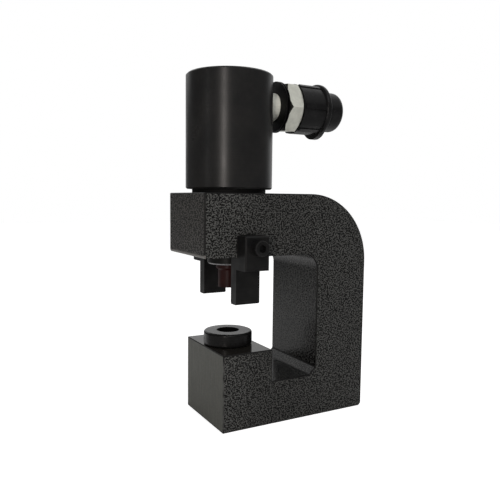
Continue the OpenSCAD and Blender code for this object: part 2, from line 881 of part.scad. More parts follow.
module valve_poppet() {
    stem = stem_diameter / 2;
    stem_end = chamber_start - stem_overhang;
    shoulder = stem_shoulder_diameter / 2;
    back = poppet_back - poppet_pull_back;
    cone = poppet_cone_start - poppet_pull_back;
    tip = nose_end - small_bevel;
    color(steel_bright)
        along_coupler()
            turned([[0, stem_end], [stem, stem_end], [stem, shoulder_face], [shoulder, shoulder_face],
                [shoulder, back], [poppet_radius, back], [poppet_radius, cone],
                [poppet_nose_radius, cone + poppet_radius - poppet_nose_radius],
                [poppet_nose_radius, tip], [0, tip]]);
}

module dust_cap() {
    round_end = cap_end - cap_end_rounding;
    round_radius = cap_end_radius - cap_end_rounding;
    rim_edge = cap_rim_radius - cap_rim_rounding;
    rib_length = cap_length - rib_set_back - overrun;
    color(rubber_black)
        along_coupler()
            difference() {
                union() {
                    bar_between(cap_radius, cap_start, cap_body_end - overrun);
                    for (i = [0 : rib_count - 1])
                        rotate([0, 0, (i + 1 / 2) * 360 / rib_count])
                            translate([0, -rib_width / 2, cap_start + rib_set_back])
                                cube([cap_radius + rib_height, rib_width, rib_length]);
                    rotate_extrude()
                        rim_profile(rim_edge);
                    bar_between(cap_end_radius, cap_body_end - overrun, round_end);
                    bar_between(round_radius, round_end - overrun, cap_end);
                    rotate_extrude()
                        translate([round_radius, round_end])
                            intersection() {
                                circle(r = cap_end_rounding);
                                translate([-overrun, -overrun])
                                    square(cap_end_rounding + overrun);
                            }
                    translate([lug_centre, 0, 0])
                        bar_between(lug_radius, lug_start, lug_start + lug_thickness);
                }
                bar_between(cap_bore_radius, cap_start - overrun, cap_bore_end);
                bar_between(cap_inner_radius, cap_bore_end - overrun, cap_end - cap_end_wall);
                translate([tether_centre, 0, 0])
                    bar_between(tether_hole / 2, lug_start - overrun, lug_start + lug_thickness + overrun);
            }
}

// Half section of the rounded rim of the dust cap
module rim_profile(edge) {
    translate([0, cap_rim_start])
        square([edge, cap_rim_width]);
    translate([edge - overrun, cap_rim_start + cap_rim_rounding])
        square([cap_rim_rounding + overrun, cap_rim_width - cap_rim_rounding * 2]);
    for (place = [cap_rim_start + cap_rim_rounding, cap_body_end - cap_rim_rounding])
        translate([edge, place])
            circle(r = cap_rim_rounding);
}

c_frame();
barrel();
barrel_lock_screw();
guide_bush();
rod_wiper();
spring_seat();
return_spring();
piston_ram();
piston_seal();
backup_ring();
piston_guide_ring();
punch_nut();
punch();
lower_die();
die_lock_screw();
near_stripper();
far_stripper();
stripper_screws();
port_seal();
port_nipple();
tether_ring();
coupler_body();
coupler_o_ring();
valve_guide();
valve_spring();
valve_poppet();
dust_cap();
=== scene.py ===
"""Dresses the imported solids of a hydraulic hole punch: finishes, soft edges, springs, screws and stage."""

import math

import bpy
from bpy.props import FloatProperty, FloatVectorProperty, IntProperty, PointerProperty
from mathutils import Matrix, Vector


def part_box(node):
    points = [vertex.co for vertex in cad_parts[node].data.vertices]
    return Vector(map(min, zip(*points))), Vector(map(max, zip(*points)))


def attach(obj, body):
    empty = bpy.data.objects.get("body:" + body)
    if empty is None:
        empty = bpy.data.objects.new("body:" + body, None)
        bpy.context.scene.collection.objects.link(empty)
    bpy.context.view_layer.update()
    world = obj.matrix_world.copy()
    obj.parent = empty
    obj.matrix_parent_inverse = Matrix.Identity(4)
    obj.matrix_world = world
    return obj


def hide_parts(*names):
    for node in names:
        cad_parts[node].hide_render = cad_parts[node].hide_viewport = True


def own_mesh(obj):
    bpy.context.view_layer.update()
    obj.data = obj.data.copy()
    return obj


bl_info = {
    "name": "Hydraulic hole punch",
    "version": (1, 0, 0),
    "blender": (4, 5, 0),
    "location": "3D View > Sidebar > Hole punch",
    "description": "Dresses the packed solids of a hydraulic hole punch",
    "category": "Object",
}

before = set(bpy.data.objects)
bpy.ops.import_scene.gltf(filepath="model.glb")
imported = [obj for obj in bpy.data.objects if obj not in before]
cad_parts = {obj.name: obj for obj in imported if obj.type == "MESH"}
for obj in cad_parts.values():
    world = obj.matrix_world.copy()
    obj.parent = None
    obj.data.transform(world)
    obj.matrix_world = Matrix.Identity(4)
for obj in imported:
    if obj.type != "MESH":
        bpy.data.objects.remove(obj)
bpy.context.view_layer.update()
MM = 0.001

# Points closer than the first are one point, and a point closer to a face than the second lies on it
SAME_POINT = 0.002 * MM
ON_FACE = 0.05 * MM

# Where the paint of the frame changes, in mm: each mask grows from 0 at the first value to 1 at the second
PAINT_BANDS = {
    "upper_jaw": ("Z", 150.0, 160.0),
    # nose_front and below_seat mark the lower nose, whose lighter paint is painted light
    "nose_front": ("X", -22.0, -22.9),
    "below_seat": ("Z", 66.4, 65.6),
    "seat_bottom": ("Z", 65.5, 65.9),
    "seat_top": ("Z", 67.0, 66.4),
    "seat_back": ("X", 30.0, 26.0),
    # The throat band also holds painted shade, where the cells are half as light
    "throat": ("X", 20.0, 24.0),
    # The middle and spine bands set painted light and shade on the sides
    "middle": ("X", -20.0, 20.0),
    "spine": ("X", 50.0, 75.0),
    # The lower nose's edges, lighter in worn patches as wear and painted highlight, and the foot, which
    # stays near black as painted shade
    "nose_shoulder": ("Z", 62.0, 58.0),
    "nose_foot": ("Z", 2.0, 5.0),
    "nose_edges": ("X", -16.0, -20.0),
    # The roundings under the upper nose, which carry a painted highlight
    "rounding_top": ("Z", 150.2, 149.7),
    "rounding_bottom": ("Z", 146.0, 146.5),
    "upper_front": ("X", -35.0, -38.0),
}

# Waves of noise per hammer cell, on the wide faces and along each axis on the narrow ones
FINE_GRAIN = 0.9
DRAWN_GRAIN = (0.84, 0.52, 0.84)

# The soft step above the jaw where the neck of the barrel ends, from its upper to its lower side; below it
# the neck is painted near black as painted shade under the barrel
NECK_SHADE_EDGE = (3.6 * MM, 3.2 * MM)

# Width of the camera's sensor, in mm
SENSOR_WIDTH = 36.0

# The soft lamps, with places and sizes in metres
WARM_WHITE = (1.0, 0.93, 0.88)
LAMPS = {
    "key": {"place": (-0.1, -1.0, 1.35), "target": (0.0, 0.0, 0.15), "size": (0.7, 0.7), "watts": 6.6},
    "fill": {"place": (0.72, -0.42, 1.25), "target": (0.03, 0.0, 0.2), "size": (1.3, 1.3), "watts": 3.1},
    "back": {"place": (-0.38, 1.22, 0.79), "target": (0.05, 0.0, 0.04), "size": (0.5, 0.5), "watts": 1.0},
    "side strip": {
        "place": (-1.12, -0.12, 0.34), "target": (0.0, 0.0, 0.26), "size": (0.12, 0.55), "watts": 0.25,
    },
    "strip": {
        "place": (-0.72, -0.86, 0.34), "target": (0.0, 0.0, 0.26), "size": (0.05, 0.55), "watts": 4.1,
        "colour": WARM_WHITE,
    },
}


# What a user would change


def length(name, description, default):
    """A length in metres"""
    return FloatProperty(
        name=name, description=description, default=default, min=0.0, unit="LENGTH", precision=5
    )


def count(name, description, default, least):
    """A whole number"""
    return IntProperty(name=name, description=description, default=default, min=least)


def share(name, description, default, most=1.0):
    """A plain number from nothing to most"""
    return FloatProperty(name=name, description=description, default=default, min=0.0, max=most)


def turn(name, description, default):
    """An angle, given in degrees"""
    return FloatProperty(
        name=name, description=description, default=math.radians(default), subtype="ANGLE"
    )


def tint(name, description, default):
    """A linear colour"""
    return FloatVectorProperty(
        name=name, description=description, default=default, size=3, min=0.0, max=1.0, subtype="COLOR"
    )


def spot(name, description, default):
    """A place in metres"""
    return FloatVectorProperty(
        name=name, description=description, default=default, size=3, subtype="XYZ_LENGTH"
    )


class PunchSizes(bpy.types.PropertyGroup):
    """Sizes that the solids leave open"""

    frame_edge: length("Frame edge", "Rounding along the outer edges of the frame", 0.0009)
    nose_edge: length("Nose edge", "Rounding of the lower edges of the upper nose", 0.0025)
    frame_edge_steps: count("Frame edge steps", "Facets across those roundings", 4, 1)
    hammer_cell: length("Hammer cell", "Mean spacing of the cells of the hammered paint", 0.0011)
    hammer_depth: length("Hammer depth", "Height of the cells of the hammered paint", 0.0002)
    # The black in the die's hole is painted shade
    die_mouth: length("Die mouth", "Radius of the black hole in the die with its mouth", 0.0099)
    cap_wall_radius: length("Cap wall", "Outer radius of the cap between its grip ribs", 0.0223)
    cap_rib_end: length("Rib end", "Where the grip ribs run into the rim, along the coupler", 0.0878)
    cap_rib_rounding: length("Rib rounding", "Rounding along the grip ribs of the cap", 0.0006)
    head_ridges: count("Head ridges", "Knurl ridges round a screw head", 40, 8)
    head_ridge_depth: length("Ridge depth", "Depth of the knurl on the screw heads", 0.00022)
    head_rounding: length("Head rounding", "Rounding of the rim of a screw head", 0.0008)
    socket_across: length("Socket", "Width of the hexagon socket across its flats", 0.006)
    shank_radius: length("Shank radius", "Radius of the shank of a screw", 0.004)
    shank_grip: length("Shank grip", "Depth of the shank in the frame", 0.0103)
    shank_chamfer: length("Shank chamfer", "Chamfer at the end of the shank", 0.0008)


class PunchColours(bpy.types.PropertyGroup):
    """Base colours of the finishes"""

    paint_cell: tint("Paint cell", "Cells of the hammered paint", (0.081, 0.082, 0.079))
    paint_vein: tint("Paint vein", "Veins between those cells", (0.0010, 0.0010, 0.0010))
    paint_front: tint("Front paint", "Cells on the front of the upper nose", (0.084, 0.081, 0.076))
    # The nose paint is smoother and lighter than the cells; its lightness is painted light on the lower nose
    lit_nose_paint: tint("Nose paint", "Smooth thick paint on the lower nose", (0.106, 0.109, 0.098))
    die_seat: tint("Die seat", "Machined top of the die block", (0.0178, 0.0165, 0.0145))
    oxide: tint("Black oxide", "Oxide-black steel", (0.0054, 0.0054, 0.0056))
    oxide_worn: tint("Thin oxide", "Oxide where it is rubbed thin", (0.0106, 0.0103, 0.0101))
    nut: tint("Phosphated steel", "The punch nut", (0.0042, 0.0044, 0.0034))
    punch: tint("Tool steel", "The heat-treated punch", (0.021, 0.0042, 0.0034))
    plated: tint("Plated steel", "Coupler and nipple", (0.60, 0.605, 0.54))
    steel: tint("Turned steel", "Ram and small steel pieces", (0.40, 0.40, 0.41))
    wire: tint("Spring wire", "Oiled spring wire", (0.16, 0.165, 0.18))
    bronze: tint("Bronze", "Bush, wear band and sealing washer", (0.52, 0.31, 0.12))
    seal: tint("Seal", "Polyurethane seals", (0.02, 0.065, 0.20))
    backup: tint("Backup ring", "White plastic", (0.70, 0.70, 0.66))
    rubber: tint("Rubber", "The O-ring", (0.010, 0.010, 0.010))
    plastic: tint("Black plastic", "Dust cap and tether ring", (0.0064, 0.0064, 0.0067))


class PunchStage(bpy.types.PropertyGroup):
    """Camera, floor and surroundings"""

    camera_place: spot("Camera place", "Where the camera stands", (-0.2236632, -0.4439156, 0.1953802))
    camera_yaw: turn("Yaw", "Turn of the view from the far side towards the back", 28.946895)
    camera_pitch: turn("Pitch", "Dip of the view below level", 5.2122928)
    camera_roll: turn("Roll", "Roll of the view", 0.6121298)
    camera_lens: FloatProperty(
        name="Lens", description="Focal length on a 36 mm sensor, in mm", default=40.494338
    )
    floor_size: length("Floor", "Size of the floor", 8.0)
    floor_drop: length("Floor drop", "How far the floor lies below the base", 0.0003)
    floor_colour: tint("Floor colour", "Pale floor", (0.86, 0.86, 0.86))
    floor_lift: share("Floor lift", "Glow that keeps the floor white for the camera", 0.76)
    floor_mirror: share("Floor mirror", "Share of that glow that shows mirrored in the object", 0.7)
    mirror_start: length("Mirror start", "Way behind the object over which that glow sets in", 0.15)
    mirror_reach: length("Mirror reach", "How far from the object that mirrored glow reaches", 0.75)
    back_light: share("Back light", "Brightness of the surroundings behind the object", 0.92, 4.0)
    back_turn: turn("Back turn", "Turn of the bright surroundings to the right", 10.0)
    back_rise: share("Back rise", "How far the bright surroundings reach up", 0.42)
    back_dim: share("Back dim", "How much a view looks back where the surroundings get brighter", 0.62)
    back_full: share("Back full", "How much a view looks back where they are brightest", 0.95)
    front_light: share("Front light", "Brightness of the surroundings before the object", 0.12, 4.0)


# Hand tools


def select_none():
    """Leaves nothing selected"""
    bpy.ops.object.select_all(action="DESELECT")


def select_only(piece):
    """Makes this object the only selected and active one"""
    select_none()
    piece.select_set(True)
    bpy.context.view_layer.objects.active = piece


def editing(piece, mode="VERT"):
    """Opens a piece in edit mode with nothing selected"""
    select_only(piece)
    bpy.ops.object.mode_set(mode="EDIT")
    bpy.ops.mesh.select_mode(type=mode)
    bpy.ops.mesh.select_all(action="DESELECT")


def done_editing():
    """Goes back to object mode"""
    bpy.ops.object.mode_set(mode="OBJECT")


def pick(piece, kind, test):
    """Selects the vertices, edges or faces of a piece in edit mode that pass a test, and nothing else"""
    bpy.ops.mesh.select_all(action="DESELECT")
    bpy.ops.object.mode_set(mode="OBJECT")
    for element in getattr(piece.data, kind):
        element.select = bool(test(element))
    bpy.ops.object.mode_set(mode="EDIT")


def flattened(piece, angle):
    """Joins the triangles of the flat faces of a piece and leaves it in edit mode"""
    editing(piece)
    bpy.ops.mesh.select_all(action="SELECT")
    bpy.ops.mesh.dissolve_limited(angle_limit=math.radians(angle))


def sharp_edges(piece, angle):
    """The indices of the edges of a piece that are sharper than an angle"""
    editing(piece, "EDGE")
    bpy.ops.mesh.edges_select_sharp(sharpness=math.radians(angle))
    done_editing()
    return {edge.index for edge in piece.data.edges if edge.select}


def merged_copy(node, name):
    """A copy of a solid with its loose triangles joined, at the same place"""
    piece = bpy.data.objects.new(name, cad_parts[node].data.copy())
    bpy.context.scene.collection.objects.link(piece)
    piece.data.materials.clear()
    select_only(piece)
    if piece.data.has_custom_normals:
        bpy.ops.mesh.customdata_custom_splitnormals_clear()
    editing(piece)
    bpy.ops.mesh.select_all(action="SELECT")
    bpy.ops.mesh.remove_doubles(threshold=SAME_POINT)
    done_editing()
    return piece


def smoothed(piece, angle):
    """Shades a piece smooth, apart from edges that are sharper than an angle"""
    select_only(piece)
    bpy.ops.object.shade_smooth_by_angle(angle=math.radians(angle))


def give(piece, *materials):
    """Adds material slots to a piece"""
    for material in materials:
        piece.data.materials.append(material)


def finish_piece(piece, body, node):
    """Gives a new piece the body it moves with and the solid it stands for"""
    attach(piece, body)
    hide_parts(node)


# Finishes


def shaded(colour, factor):
    """A colour made darker or lighter"""
    return tuple(min(1.0, factor * channel) for channel in colour)


class Nodes:
    """A node tree in the making"""

    def __init__(self, tree):
        self.tree = tree

    def put(self, node, inputs):
        """Sets or links the named inputs of a node"""
        for name, value in inputs.items():
            if isinstance(value, bpy.types.NodeSocket):
                self.tree.links.new(value, node.inputs[name])
            else:
                node.inputs[name].default_value = value
        return node

    def node(self, kind, inputs=None, **settings):
        """Adds a shader node with its settings and inputs"""
        made = self.tree.nodes.new("ShaderNode" + kind)
        for name, value in settings.items():
            setattr(made, name, value)
        return self.put(made, inputs or {})

    def sum(self, operation, first, second=0.0):
        """One step of arithmetic"""
        return self.node("Math", {0: first, 1: second}, operation=operation).outputs[0]

    def both(self, *masks):
        """Where all these masks hold"""
        held = masks[0]
        for mask in masks[1:]:
            held = self.sum("MULTIPLY", held, mask)
        return held

    def mix(self, factor, first, second):
        """A number between two others"""
        return self.node("Mix", {0: factor, 2: first, 3: second}).outputs[0]

    def between(self, value, low, high, start=0.0, end=1.0):
        """Maps low..high of a value to start..end, smoothly and held at both ends"""
        inputs = {"Value": value, "From Min": low, "From Max": high, "To Min": start, "To Max": end}
        return self.node("MapRange", inputs, interpolation_type="SMOOTHSTEP").outputs["Result"]

    def along(self, place, direction):
        """How far a place lies along a direction"""
        inputs = {0: place, 1: direction}
        return self.node("VectorMath", inputs, operation="DOT_PRODUCT").outputs["Value"]

    def size(self, vector):
        """The length of a vector"""
        return self.node("VectorMath", {0: vector}, operation="LENGTH").outputs["Value"]

    def axes(self, vector):
        """The parts of a vector along X, Y and Z"""
        return self.node("SeparateXYZ", {0: vector}).outputs


class Finish(Nodes):
    """A material in the making, with its shader and the Object coordinates that its patterns sit on"""

    def __init__(self, name, roughness=0.4, metallic=0.0, specular=0.5):
        self.material = bpy.data.materials.new(name)
        self.material.use_nodes = True
        super().__init__(self.material.node_tree)
        self.shader = self.tree.nodes["Principled BSDF"]
        constants = {"Roughness": roughness, "Metallic": metallic, "Specular IOR Level": specular}
        self.put(self.shader, constants)
        coordinates = self.node("TexCoord").outputs
        self.place, self.normal = coordinates["Object"], coordinates["Normal"]

    def stretched(self, scale):
        """Object coordinates stretched by a scale along each axis"""
        return self.node("Mapping", {"Vector": self.place, "Scale": scale}).outputs["Vector"]

    def noise(self, scale, detail=2.0, roughness=0.5, place=None):
        """Soft noise on the Object coordinates, or on a stretched copy of them"""
        inputs = {
            "Vector": place or self.place, "Scale": scale, "Detail": detail, "Roughness": roughness,
        }
        return self.node("TexNoise", inputs).outputs["Fac"]

    def within(self, where, *names):
        """Where all the named bands of the frame hold"""
        masks = []
        for name in names:
            axis, start, end = PAINT_BANDS[name]
            masks.append(self.between(where[axis], start * MM, end * MM))
        return self.both(*masks)

    def blend(self, factor, first, second):
        """A colour between two others"""
        mix = self.node("Mix", {0: factor}, data_type="RGBA")
        for socket, value in ((6, first), (7, second)):
            given = value if isinstance(value, bpy.types.NodeSocket) else (*value, 1.0)
            self.put(mix, {socket: given})
        return mix.outputs[2]

    def worn(self, marks):
        """Where the marks of wear are strong"""
        return self.between(marks, 0.36, 0.66)

    def sheen(self, marks, dull, bright):
        """A roughness that falls from dull to bright where the marks of wear are strong"""
        return self.between(marks, 0.3, 0.7, dull, bright)

    def tool_marks(self, patch, rings_per_metre, ring_share, axis=2):
        """Fine tool rings along an axis, alone and mixed with soft patches of wear"""
        around = 4.0
        stretch = [around, around, around]
        stretch[axis] = rings_per_metre
        rings = self.noise(1.0, detail=2.0, place=self.stretched(stretch))
        wear = self.noise(patch, detail=5.0, roughness=0.62)
        return rings, self.mixed(wear, rings, ring_share)

    def mixed(self, first, second, second_share):
        """Two patterns added up by their shares"""
        first = self.sum("MULTIPLY", first, 1.0 - second_share)
        return self.sum("ADD", first, self.sum("MULTIPLY", second, second_share))

    def bump(self, height, distance):
        """A normal that follows a height"""
        inputs = {"Height": height, "Distance": distance, "Strength": 1.0}
        return self.node("Bump", inputs).outputs["Normal"]

    def out(self, colour, **inputs):
        """Links colour, roughness or normal to the shader and gives the finished material"""
        self.put(self.shader, {"Base Color": colour})
        self.put(self.shader, {name.capitalize(): value for name, value in inputs.items()})
        return self.material


def hammered_paint(colours, sizes):
    """Dark hammered paint of pale cells and black veins, even on the lower nose and bare on the die seat,
    with painted light and shade: lighter on the lower nose and at the front and spine of the sides, darker
    in the middle of the sides and in the throat
    """
    finish = Finish("hammered_paint", specular=0.14)
    facing, where = finish.axes(finish.normal), finish.axes(finish.place)

    # The faces that carry the paint differently
    sides = finish.between(finish.sum("ABSOLUTE", facing["Y"]), 0.6, 0.95)
    top = finish.both(finish.between(facing["Z"], 0.3, 0.6), finish.within(where, "upper_jaw"))
    back = finish.between(facing["X"], 0.3, 0.6)
    wide = finish.sum("MAXIMUM", sides, finish.sum("MAXIMUM", top, back))
    nose = finish.within(where, "nose_front", "below_seat")
    seat = finish.within(where, "seat_bottom", "seat_top", "seat_back")
    throat, middle, spine = (finish.within(where, name) for name in ("throat", "middle", "spine"))

    # The grain is fine on the sides, top and back, and drawn out across the front and the throat
    fine = finish.noise(FINE_GRAIN / sizes.hammer_cell, detail=1.2, roughness=0.55)
    across = finish.stretched(tuple(waves / sizes.hammer_cell for waves in DRAWN_GRAIN))
    drawn = finish.noise(1.0, detail=1.6, roughness=0.6, place=across)
    ridges = finish.mix(wide, drawn, fine)
    cells = finish.between(ridges, 0.47, 0.55)
    drift = finish.between(finish.noise(22.0, detail=2.0), 0.3, 0.7, 0.8, 1.15)
    narrow_contrast = finish.mix(throat, 1.4, 1.7)
    # Painted light: the contrast on the sides is higher at the front, for raking light
    wide_contrast = finish.mix(middle, 1.9, 1.3)
    contrast = finish.mix(wide, narrow_contrast, wide_contrast)
    apart = finish.sum("SUBTRACT", cells, 0.5)
    apart = finish.sum("MULTIPLY", apart, finish.sum("MULTIPLY", contrast, drift))

    # Painted shade: in the throat the cells are half as light
    narrow_cell = finish.blend(throat, colours.paint_front, shaded(colours.paint_cell, 0.5))
    # Painted light and shade: the cells on the sides are lighter at the front and the spine and darker in
    # the middle
    lit_front_cell, shaded_middle_cell, lit_spine_cell = (shaded(colours.paint_cell, by) for by in (1.16, 0.86, 0.96))
    wide_cell = finish.blend(spine, finish.blend(middle, lit_front_cell, shaded_middle_cell), lit_spine_cell)
    cell = finish.blend(wide, narrow_cell, wide_cell)
    paint = finish.blend(finish.sum("ADD", apart, 0.5), colours.paint_vein, cell)

    # Thick paint runs down the lower nose, painted lighter as painted light on its front, and the seat of
    # the die is machined and oiled
    runs = finish.noise(1.0, detail=3.0, place=finish.stretched((300.0, 900.0, 60.0)))
    thick = finish.blend(runs, shaded(colours.lit_nose_paint, 0.68), shaded(colours.lit_nose_paint, 1.36))
    paint = finish.blend(finish.sum("MULTIPLY", nose, 0.9), paint, thick)
    film = finish.noise(90.0, detail=4.0)
    bare = finish.blend(film, shaded(colours.die_seat, 0.7), shaded(colours.die_seat, 1.3))
    colour = finish.blend(seat, paint, bare)

    wide_dull = finish.between(cells, 0.0, 1.0, 0.55, 0.38)
    dull = finish.mix(wide, finish.mix(throat, 0.40, 0.22), wide_dull)
    dull = finish.mix(seat, finish.mix(nose, dull, 0.52), 0.14)
    smooth = finish.sum("MAXIMUM", seat, finish.sum("MULTIPLY", nose, 0.8))
    rise = finish.sum("MULTIPLY", ridges, finish.sum("SUBTRACT", 1.0, smooth))
    return finish.out(colour, roughness=dull, normal=finish.bump(rise, sizes.hammer_depth))


def edge_paint(colours):
    """The paint over the rounded edges: near black as painted shade, lighter in worn patches along the lower
    nose as wear and painted highlight, and a painted highlight under the upper nose
    """
    finish = Finish("edge_paint", specular=0.2)
    where = finish.axes(finish.place)
    wear = finish.noise(160.0, detail=5.0, roughness=0.65)
    # Painted shade: the roundings are near black, also at the foot; only worn patches on the lower nose's
    # edges come out lighter, wear and painted highlight together
    nose = finish.within(where, "nose_shoulder", "nose_foot", "nose_edges")
    rubbed = finish.both(nose, finish.between(wear, 0.3, 0.6))
    colour = finish.blend(rubbed, shaded(colours.paint_cell, 0.05), shaded(colours.paint_cell, 0.9))
    # Painted highlight on the roundings under the upper nose
    under = finish.within(where, "rounding_top", "rounding_bottom", "upper_front")
    colour = finish.blend(under, colour, shaded(colours.paint_front, 1.6))
    return finish.out(colour, roughness=finish.sheen(wear, 0.5, 0.34))


def turned_metal(name, colour, worn, roughness, metallic=0.0, specular=0.5, axis=2, patch=55.0):
    """Turned metal with fine tool rings along an axis and soft patches of wear"""
    pitch, ring_share, groove = 0.35 * MM, 0.35, 0.002 * MM
    finish = Finish(name, metallic=metallic, specular=specular)
    rings, marks = finish.tool_marks(patch, 1.0 / pitch, ring_share, axis)
    shade = finish.blend(finish.worn(marks), colour, worn)
    dull = finish.sheen(marks, roughness + 0.06, roughness - 0.05)
    return finish.out(shade, roughness=dull, normal=finish.bump(rings, groove))


def barrel_oxide(colours, jaw_top):
    """Oxide black on the turned barrel, and painted shade on the neck under it, near black and duller"""
    finish = Finish("barrel_oxide", specular=0.22)
    rings, marks = finish.tool_marks(30.0, 2000.0, 0.2)
    coat, thin = shaded(colours.oxide, 1.9), shaded(colours.oxide_worn, 1.7)
    wall = finish.blend(finish.worn(marks), coat, thin)
    height = finish.axes(finish.place)["Z"]
    # Painted shade: the neck under the barrel is made near black
    neck = finish.between(height, *(jaw_top + end for end in NECK_SHADE_EDGE))
    colour = finish.blend(neck, wall, shaded(colours.oxide, 0.3))
    dull = finish.mix(neck, finish.sheen(marks, 0.36, 0.27), 0.7)
    return finish.out(colour, roughness=dull, normal=finish.bump(rings, 0.0008 * MM))


def die_oxide(colours, sizes):
    """Oxide black on the turned die, with painted shade in its hole: matt and near black"""
    finish = Finish("die_oxide", specular=0.15)
    rings, marks = finish.tool_marks(55.0, 3300.0, 0.35)
    wall = finish.blend(finish.worn(marks), colours.oxide, shaded(colours.oxide_worn, 0.8))
    radius = finish.size(finish.stretched((1.0, 1.0, 0.0)))
    # Painted shade: inside the die mouth the colour falls to near black
    hole = finish.between(radius, sizes.die_mouth + 0.3 * MM, sizes.die_mouth)
    colour = finish.blend(hole, wall, shaded(colours.oxide, 0.1))
    dull = finish.mix(hole, finish.sheen(marks, 0.33, 0.22), 0.9)
    return finish.out(colour, roughness=dull, normal=finish.bump(rings, 0.002 * MM))


def nut_phosphate(colours):
    """Dark phosphated steel, with a painted highlight of pale steel on the bevel of the rim"""
    finish = Finish("nut_phosphate", specular=0.16)
    wear = finish.noise(90.0, detail=5.0, roughness=0.62)
    facing = finish.axes(finish.normal)["Z"]
    # Painted highlight: the faces of the rim's bevel are made pale steel
    rim = finish.both(finish.between(facing, -0.3, -0.5), finish.between(facing, -0.95, -0.85))
    dark = finish.blend(finish.worn(wear), colours.nut, shaded(colours.nut, 1.7))
    colour = finish.blend(rim, dark, shaded(colours.steel, 0.6))
    dull = finish.sheen(wear, 0.46, 0.36)
    return finish.out(colour, roughness=dull, normal=finish.bump(wear, 0.01 * MM))


def plated_steel(colours):
    """Pale plated steel, with a painted dark reflection of the barrel and painted shade on the faces that
    look towards the barrel
    """
    finish = Finish("plated_steel", metallic=0.70)
    wear = finish.noise(140.0, detail=5.0, roughness=0.62)
    facing = finish.axes(finish.normal)
    # Painted dark reflection and shade: faces that look towards the barrel, and not up or down, are made
    # near black
    upright = finish.between(finish.sum("ABSOLUTE", facing["Z"]), 0.80, 0.65)
    painted_dark_reflection = finish.both(finish.between(facing["X"], -0.35, -0.6), upright)
    plain_plating = finish.blend(finish.worn(wear), shaded(colours.plated, 0.92), shaded(colours.plated, 1.08))
    colour = finish.blend(painted_dark_reflection, plain_plating, shaded(colours.plated, 0.06))
    dull = finish.sheen(wear, 0.42, 0.32)
    return finish.out(colour, roughness=dull, normal=finish.bump(wear, 0.01 * MM))


def milled_oxide(name, colours, rubbed=1.0):
    """Oxide-black milled steel with faint cutter lines and patches that are rubbed thin"""
    finish = Finish(name, specular=0.16)
    wear = finish.noise(80.0, detail=5.0, roughness=0.6)
    lines = finish.noise(1.0, detail=2.0, place=finish.stretched((60.0, 60.0, 2200.0)))
    marks = finish.mixed(wear, lines, 0.3)
    # rubbed scales the colours lighter; the screw rims use it for a painted highlight
    coat, thin = shaded(colours.oxide, rubbed), shaded(colours.oxide_worn, rubbed)
    colour = finish.blend(finish.between(marks, 0.38, 0.66), coat, thin)
    dull = finish.sheen(marks, 0.46, 0.34)
    return finish.out(colour, roughness=dull, normal=finish.bump(lines, 0.003 * MM))


def moulded(name, colour, roughness, specular=0.5, grain_height=0.004 * MM):
    """Moulded plastic or rubber with a fine skin and faint flow marks"""
    finish = Finish(name, specular=specular)
    skin = finish.noise(1400.0, detail=3.0)
    flow = finish.noise(70.0, detail=4.0, roughness=0.6)
    shade = finish.blend(finish.between(flow, 0.35, 0.7), colour, shaded(colour, 1.5))
    dull = finish.sheen(flow, roughness + 0.05, roughness - 0.04)
    return finish.out(shade, roughness=dull, normal=finish.bump(skin, grain_height))


# Pieces


class FrameForging(bpy.types.Operator):
    """Rounds the outer edges of the frame and paints it"""

    bl_idname = "punch.frame_forging"
    bl_label = "Frame forging"

    def execute(self, context):
        sizes, colours = context.scene.punch_sizes, context.scene.punch_colours
        piece = merged_copy("c_frame", "frame_forging")
        flattened(piece, 0.5)
        # A cut on the punch axis parts the lower edges of the jaw behind the strippers
        bpy.ops.mesh.select_all(action="SELECT")
        bpy.ops.mesh.bisect(
            plane_co=(0.0, 0.0, 0.0), plane_no=(1.0, 0.0, 0.0), threshold=0.01 * MM
        )
        done_editing()
        smoothed(piece, 30.0)
        self.weigh_edges(piece, sizes)
        give(piece, hammered_paint(colours, sizes), edge_paint(colours))
        self.round_edges(piece, sizes)
        finish_piece(piece, "frame", "c_frame")
        return {"FINISHED"}

    def weigh_edges(self, piece, sizes):
        """Weighs the sharp outer edges of the sides, clear of the screw holes, and most under the nose"""
        front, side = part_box("c_frame")[0].x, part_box("c_frame")[1].y
        screws = [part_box(node) for node in ("stripper_screws", "barrel_lock_screw", "die_lock_screw")]
        heights = [(low.z + high.z) / 2 for low, high in screws]
        hole_reach = 6.0 * MM
        points = [vertex.co.copy() for vertex in piece.data.vertices]
        jaw = min(place.z for place in points if place.x < front + ON_FACE)

        def outer(index):
            place = points[index]
            level = any(abs(place.z - height) < hole_reach for height in heights)
            by_hole = abs(place.x) < hole_reach and level
            return abs(place.y) > side - ON_FACE and not by_hole

        def under_nose(index):
            place = points[index]
            return outer(index) and abs(place.z - jaw) < ON_FACE and place.x < ON_FACE

        sharp = sharp_edges(piece, 20.0)
        editing(piece, "EDGE")
        widths = ((outer, sizes.frame_edge), (under_nose, sizes.nose_edge - sizes.frame_edge))
        for test, width in widths:
            pick(
                piece, "edges",
                lambda edge: edge.index in sharp and all(test(index) for index in edge.vertices),
            )
            bpy.ops.transform.edge_bevelweight(value=width / sizes.nose_edge)
        done_editing()

    def round_edges(self, piece, sizes):
        """Rounds the weighed edges, with the second material on the roundings"""
        bpy.ops.object.modifier_add(type="BEVEL")
        bevel = piece.modifiers[-1]
        bevel.limit_method = "WEIGHT"
        bevel.width = sizes.nose_edge
        bevel.segments = sizes.frame_edge_steps
        bevel.use_clamp_overlap = False
        bevel.harden_normals = True
        bevel.material = 1
        bpy.ops.object.modifier_apply(modifier=bevel.name)
        # What the rounding of the foot pushed a hair below the base goes back level with it
        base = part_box("c_frame")[0].z
        editing(piece)
        pick(piece, "vertices", lambda vertex: vertex.co.z < base)
        bpy.ops.transform.resize(value=(1.0, 1.0, 0.0), center_override=(0.0, 0.0, base))
        done_editing()


